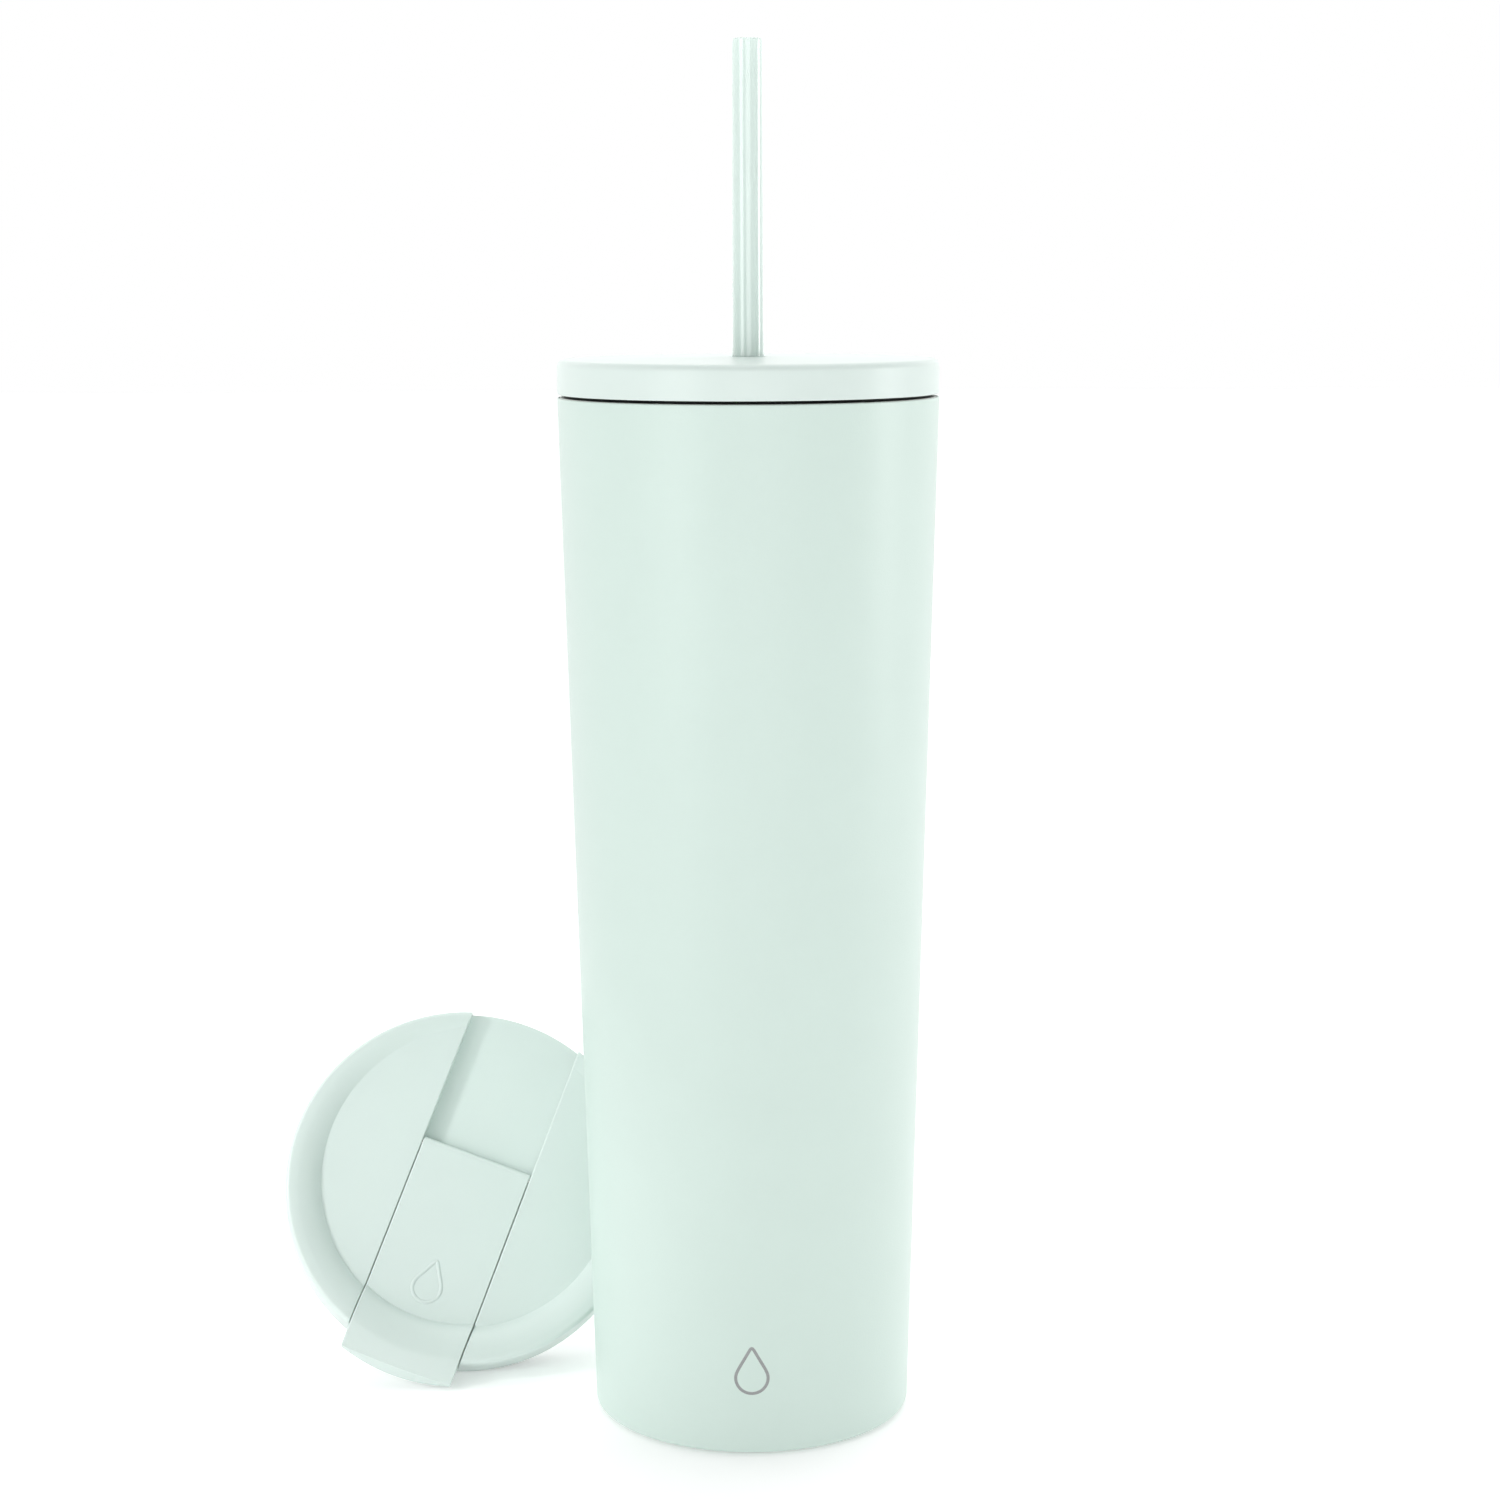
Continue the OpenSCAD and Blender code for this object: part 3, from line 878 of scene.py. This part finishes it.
def cut_with(obj, tools, place):
    """Cuts closed meshes, in mm in a lid frame, out of a piece."""
    for bm in tools:
        tool = new_object("cutter", bm, place)
        mod = obj.modifiers.new("cut", "BOOLEAN")
        mod.operation = "DIFFERENCE"
        mod.solver = "EXACT"
        mod.object = tool
        graph = bpy.context.evaluated_depsgraph_get()
        mesh = bpy.data.meshes.new_from_object(obj.evaluated_get(graph))
        obj.modifiers.clear()
        obj.data = mesh
        bpy.data.objects.remove(tool)
    obj.data.set_sharp_from_angle(angle=radians(32))


def stadium_tool(half, profile, x, y, steps=40):
    """Cutter with a stadium outline. profile is (radius, z) downwards, swept round the centres x - half
    and x + half."""
    bm = bmesh.new()
    around = [2 * pi * (k + 0.5) / steps for k in range(steps)]
    rings = []
    for r, z in profile:
        rings.append([(x + copysign(half, cos(a)) + r * cos(a), y + r * sin(a), z) for a in around])
    add_loft(bm, rings, closed=False, capped=True)
    return bm


def rod_tool(radius, length, y, z, steps=32):
    """Round cutter along X, centred on the lid."""
    bm = bmesh.new()
    around = [2 * pi * k / steps for k in range(steps)]
    rings = []
    for x in (-length / 2, length / 2):
        rings.append([(x, y + radius * cos(a), z + radius * sin(a)) for a in around])
    add_loft(bm, rings, closed=False, capped=True)
    return bm


def flared(radius, edge=0.3, steps=4):
    """(radius, z) profile of a hole through the channel's floor, with its upper edge rounded."""
    high = [(radius + edge + 0.2, CHANNEL_FLOOR + 1.0), (radius + edge, CHANNEL_FLOOR + 0.01)]
    for k in range(1, steps + 1):
        a = pi / 2 * k / steps
        high.append((radius + edge * (1 - sin(a)), CHANNEL_FLOOR - edge * (1 - cos(a))))
    return high + [(radius, CHANNEL_FLOOR - FLOOR_T - 2)]


def join_meshes(name, objects):
    """One piece from several, keeping their places."""
    bm = bmesh.new()
    for obj in objects:
        bm.from_mesh(obj.data)
        bpy.data.objects.remove(obj)
    mesh = bpy.data.meshes.new(name)
    bm.to_mesh(mesh)
    bm.free()
    mesh.set_sharp_from_angle(angle=radians(32))
    joined = bpy.data.objects.new(name, mesh)
    bpy.context.scene.collection.objects.link(joined)
    return joined


def make_flip_cap():
    right = make_half(CHANNEL_HALF)
    left = make_half(CHANNEL_HALF)
    bmesh.ops.scale(left, verts=left.verts, vec=(-1, 1, 1))
    parts = [new_object("half", bm, FLIP_PLACE, smooth_angle=32) for bm in (right, left)]
    tray = new_object("tray", make_tray(), FLIP_PLACE, smooth_angle=32)
    holes = [
        stadium_tool(SLOT_HALF, flared(SLOT_R), 0, -SLOT_Y),
        stadium_tool(0, flared(VENT_R, 0.25), 0, -VENT_Y, steps=32),
        rod_tool(PIN_R + 0.01, 2 * PIN_HALF + 0.2, HINGE_BACK, HINGE_Z),
    ]
    cut_with(tray, holes, TAB_PLACE)
    obj = join_meshes("flip_lid_top", parts + [tray])
    # The flip lid's look is the darker copy of its plastic: painted shade.
    return finish_piece(obj, "flip_lid", "lid_plastic", "flip_lid_cap", look="flip_lid_painted_shade")


def tab_outline(x):
    """Closed (distance, z) section of the tab at x: barrel behind, flat, rise, ridge and finger lip. The
    lip's end is thickest and leans back most in the middle, and thins out towards the corners."""
    under = -PLATE_DROP - TAB_T
    ridge = (CREST_R + HINGE_BACK) * tan(DISH_TILT) + 0.3
    barrel = TAB_T / 2
    swell = max(0.0, 1 - (x / TAB_HALF) ** 2)
    high = Vector((LIP_R - 0.3 - 1.7 * swell, ridge - 1.0))
    low = Vector((LIP_R - 0.1, ridge - 2.1 - 1.9 * swell))
    pts = []
    for k in range(11):
        a = radians(270 - 180 * k / 10)
        pts.append((-HINGE_BACK + barrel * cos(a), HINGE_Z + barrel * sin(a)))
    pts += [(d, -PLATE_DROP) for d in (-HINGE_BACK + 0.4, TAB_FLAT_R - 1.0, TAB_FLAT_R - 0.12)]
    for k in range(SLOPE_STEPS + 1):
        a = SLOPE_END + (SLOPE_START - SLOPE_END) * k / SLOPE_STEPS
        r, z = slope_point(a, CREST_R + 0.8, TAB_FLAT_R, ridge + PLATE_DROP)
        pts.append((r, ridge + z))
    pts += [(CREST_R + 1.3, ridge + 0.1), (CREST_R + 1.9, ridge + 0.08), (CREST_R + 2.7, ridge - 0.06)]
    end = (low - high).normalized()
    corner = high + Vector((0.0, 0.2))
    tip = [corner - Vector((0.9, -0.18)), corner - Vector((0.45, -0.07)), corner]
    tip += [high + end * 0.25, high + end * 0.6, low - end * 0.5, low - end * 0.15]
    tip += [low + Vector((-0.15, -0.2)), low + Vector((-0.6, -0.25))]
    pts += [tuple(p) for p in tip]
    pts += [(FLIP_R + 1.1, under + 2.6), (FLIP_R + 0.8, under + 2.0)]
    return pts + [(FLIP_R - 0.4, under + 0.1), (FLIP_R - 0.8, under)]


def make_flip_tab():
    bm = bmesh.new()
    columns = edge_columns(-TAB_HALF, TAB_HALF, 0.3, middle=24)
    swept_across(bm, tab_outline, columns, round_the_axis(TAB_FLAT_R - 4))
    obj = new_object("flip_tab_lever", bm, TAB_PLACE, smooth_angle=32)
    cut_with(obj, [rod_tool(PIN_R + 0.05, 40, HINGE_BACK, HINGE_Z)], TAB_PLACE)
    # The tab's look is the darker copy of its plastic: painted shade.
    return finish_piece(obj, "flip_tab", "lid_plastic", "flip_tab", look="flip_lid_painted_shade")


def droplet(height, steps=64):
    """Closed outline of a water droplet, point up, its middle at the origin, with its outward normals."""
    r = height * 0.34
    drop = height - 2 * r
    points = []
    for k in range(steps):
        a = 2 * pi * k / steps
        pull = max(0.0, cos(a)) ** 3
        points.append(Vector((r * sin(a) * (1 - 0.55 * pull), r * cos(a) + (drop * pull) - drop / 2)))
    normals = []
    for k in range(steps):
        along = (points[(k + 1) % steps] - points[k - 1]).normalized()
        normals.append(Vector((-along.y, along.x)))
    return points, normals


def droplet_band(bm, height, half_width, bead, to_surface):
    """A raised bead along the droplet's outline. to_surface(u, v, lift) gives its place on the piece."""
    points, normals = droplet(height)
    section = [(half_width * cos(a), bead * sin(a)) for a in (pi * k / 6 for k in range(7))]
    section.append((0.0, -0.15))
    rings = []
    for p, n in zip(points, normals):
        rings.append([to_surface(p.x + n.x * w, p.y + n.y * w, lift) for w, lift in section])
    add_loft(bm, rings)


def make_tab_mark():
    """A droplet embossed on the tab."""
    bm = bmesh.new()
    droplet_band(bm, 10.5, 0.45, 0.2, lambda u, v, lift: (u, v - 25.5, -PLATE_DROP + lift))
    obj = new_object("tab_droplet", bm, TAB_PLACE, smooth_angle=60)
    # The droplet's look is the darker copy of its plastic: painted shade.
    return finish_piece(obj, "flip_tab", "lid_plastic", look="flip_lid_painted_shade")


def make_flip_plug():
    at_skirt = FLIP_PLACE @ Matrix.Translation((0, 0, -FLIP_WALL))
    plug = turned("flip_lid_insert", plug_outline(FLIP_R - 2.45), at_skirt)
    finish_piece(plug, "flip_lid", "plug_plastic", "flip_lid_plug")
    gasket = turned("flip_lid_ring", gasket_outline(), at_skirt)
    finish_piece(gasket, "flip_lid", "clear_silicone", "flip_lid_gasket")
    seal = turned("flip_lid_black_ring", rim_seal_outline(), at_skirt)
    # The ring in the seam is black, so the seam draws as a black line.
    finish_piece(seal, "flip_lid", "black_silicone", "flip_lid_rim_seal")


def make_body_mark():
    """A droplet etched through the paint, low on the front."""
    centre = 21.0

    def on_shell(u, v, lift):
        z = centre + v
        r = shell_radius(z) + lift
        return r * sin(u / r), -r * cos(u / r), z

    bm = bmesh.new()
    droplet_band(bm, 11.0, 0.36, 0.04, on_shell)
    obj = new_object("etched_droplet", bm, smooth_angle=60)
    return finish_piece(obj, "tumbler", "steel", look="etched_steel")


# ---------------------------------------------------------------- build
make_shell()
make_body_mark()
make_liner()
make_base()
make_straw_lid()
make_grommet()
make_straw()
make_flip_cap()
make_flip_tab()
make_tab_mark()
make_flip_plug()
for node, slot in (
    ("vacuum_seal", "seal_glass"),
    ("getter", "steel"),
    ("getter_strap", "steel"),
    ("heat_shield", "copper_foil"),
    ("hinge_pin", "steel_pin"),
    ("spout_seal", "clear_silicone"),
    ("vent_seal", "clear_silicone"),
):
    dress_node(node, slot)


# ---------------------------------------------------------------- floor and light
def make_floor():
    bm = bmesh.new()
    bmesh.ops.create_grid(bm, x_segments=8, y_segments=8, size=6.0 / MM)
    floor = new_object("floor", bm)
    m = Nodes("floor", (0.93, 0.93, 0.93), 0.7, Specular_IOR_Level=0.2)
    m.shader.inputs["Emission Color"].default_value = (1, 1, 1, 1)
    m.shader.inputs["Emission Strength"].default_value = FLOOR_GLOW
    grain = m.noise(900, detail=2)
    m.vary_color(grain, "Fac", (0.925, 0.925, 0.925), (0.935, 0.935, 0.935))
    floor.data.materials.append(m.material)


def link_light(name, light, at, aim):
    obj = bpy.data.objects.new(name, light)
    bpy.context.scene.collection.objects.link(obj)
    direction = Vector(aim) - Vector(at)
    obj.matrix_world = Matrix.Translation(at) @ direction.to_track_quat("-Z", "Y").to_matrix().to_4x4()
    obj.visible_camera = False


def add_panel(name, at, aim, size, watts):
    """A soft white panel of size (width, height) that faces the point aim."""
    light = bpy.data.lights.new(name, "AREA")
    light.shape = "RECTANGLE"
    light.size, light.size_y = size
    light.energy = watts
    link_light(name, light, at, aim)


def add_spot(name, at, aim, radius, cone, watts):
    """A lamp whose soft-edged cone, in degrees, is kept to what it is aimed at."""
    light = bpy.data.lights.new(name, "SPOT")
    light.shadow_soft_size = radius
    light.spot_size = radians(cone)
    light.spot_blend = 0.5
    light.energy = watts
    link_light(name, light, at, aim)


def world_side(tree, toward, amount):
    """Extra light, up to amount, from the half of the world round the direction toward."""
    coords = tree.nodes.new("ShaderNodeTexCoord")
    dot = tree.nodes.new("ShaderNodeVectorMath")
    dot.operation = "DOT_PRODUCT"
    dot.inputs[1].default_value = Vector(toward).normalized()
    level = tree.nodes.new("ShaderNodeMapRange")
    level.interpolation_type = "SMOOTHSTEP"
    level.inputs["From Min"].default_value = -0.3
    level.inputs["From Max"].default_value = 0.95
    level.inputs["To Min"].default_value = 0.0
    level.inputs["To Max"].default_value = amount
    tree.links.new(coords.outputs["Generated"], dot.inputs[0])
    tree.links.new(dot.outputs["Value"], level.inputs["Value"])
    return level


def make_world():
    """A white studio, brighter behind the object. The camera itself sees plain white."""
    world = bpy.data.worlds.new("world")
    world.use_nodes = True
    tree = world.node_tree
    tree.nodes.clear()
    back = world_side(tree, (0.0, 1.0, 0.15), BACK_LIGHT)
    total = tree.nodes.new("ShaderNodeMath")
    total.inputs[1].default_value = EVEN_LIGHT
    soft = tree.nodes.new("ShaderNodeBackground")
    plain = tree.nodes.new("ShaderNodeBackground")
    path = tree.nodes.new("ShaderNodeLightPath")
    mix = tree.nodes.new("ShaderNodeMixShader")
    out = tree.nodes.new("ShaderNodeOutputWorld")
    tree.links.new(back.outputs["Result"], total.inputs[0])
    tree.links.new(total.outputs["Value"], soft.inputs["Strength"])
    tree.links.new(path.outputs["Is Camera Ray"], mix.inputs["Fac"])
    tree.links.new(soft.outputs["Background"], mix.inputs[1])
    tree.links.new(plain.outputs["Background"], mix.inputs[2])
    tree.links.new(mix.outputs["Shader"], out.inputs["Surface"])
    for node in (soft, plain):
        node.inputs["Color"].default_value = (1, 1, 1, 1)
    bpy.context.scene.world = world


EVEN_LIGHT = 0.42
BACK_LIGHT = 1.1
FLOOR_GLOW = 0.26
WATTS = {
    "front_panel": 3.5,
    "left_panel": 5.0,
    "right_panel": 5.0,
    "lid_spot": 7.2,
    "top_panel": 3.5,
}

make_floor()
make_world()
middle = (0, 0, 0.12)
lid_middle = FLIP_AT * MM
add_panel("front_panel", (0.15, -1.60, 0.20), middle, (0.9, 0.6), WATTS["front_panel"])
add_panel("left_panel", (-0.95, -1.05, 0.42), (0, 0, 0.25), (0.6, 0.9), WATTS["left_panel"])
add_panel("right_panel", (1.50, 0.0, 0.22), middle, (0.4, 0.7), WATTS["right_panel"])
add_spot("lid_spot", lid_middle + Vector((-0.50, -0.30, 0.30)), lid_middle, 0.04, 12, WATTS["lid_spot"])
add_panel("top_panel", (0.1, 0.35, 1.40), middle, (0.9, 0.9), WATTS["top_panel"])
bpy.context.scene.view_settings.view_transform = "Standard"
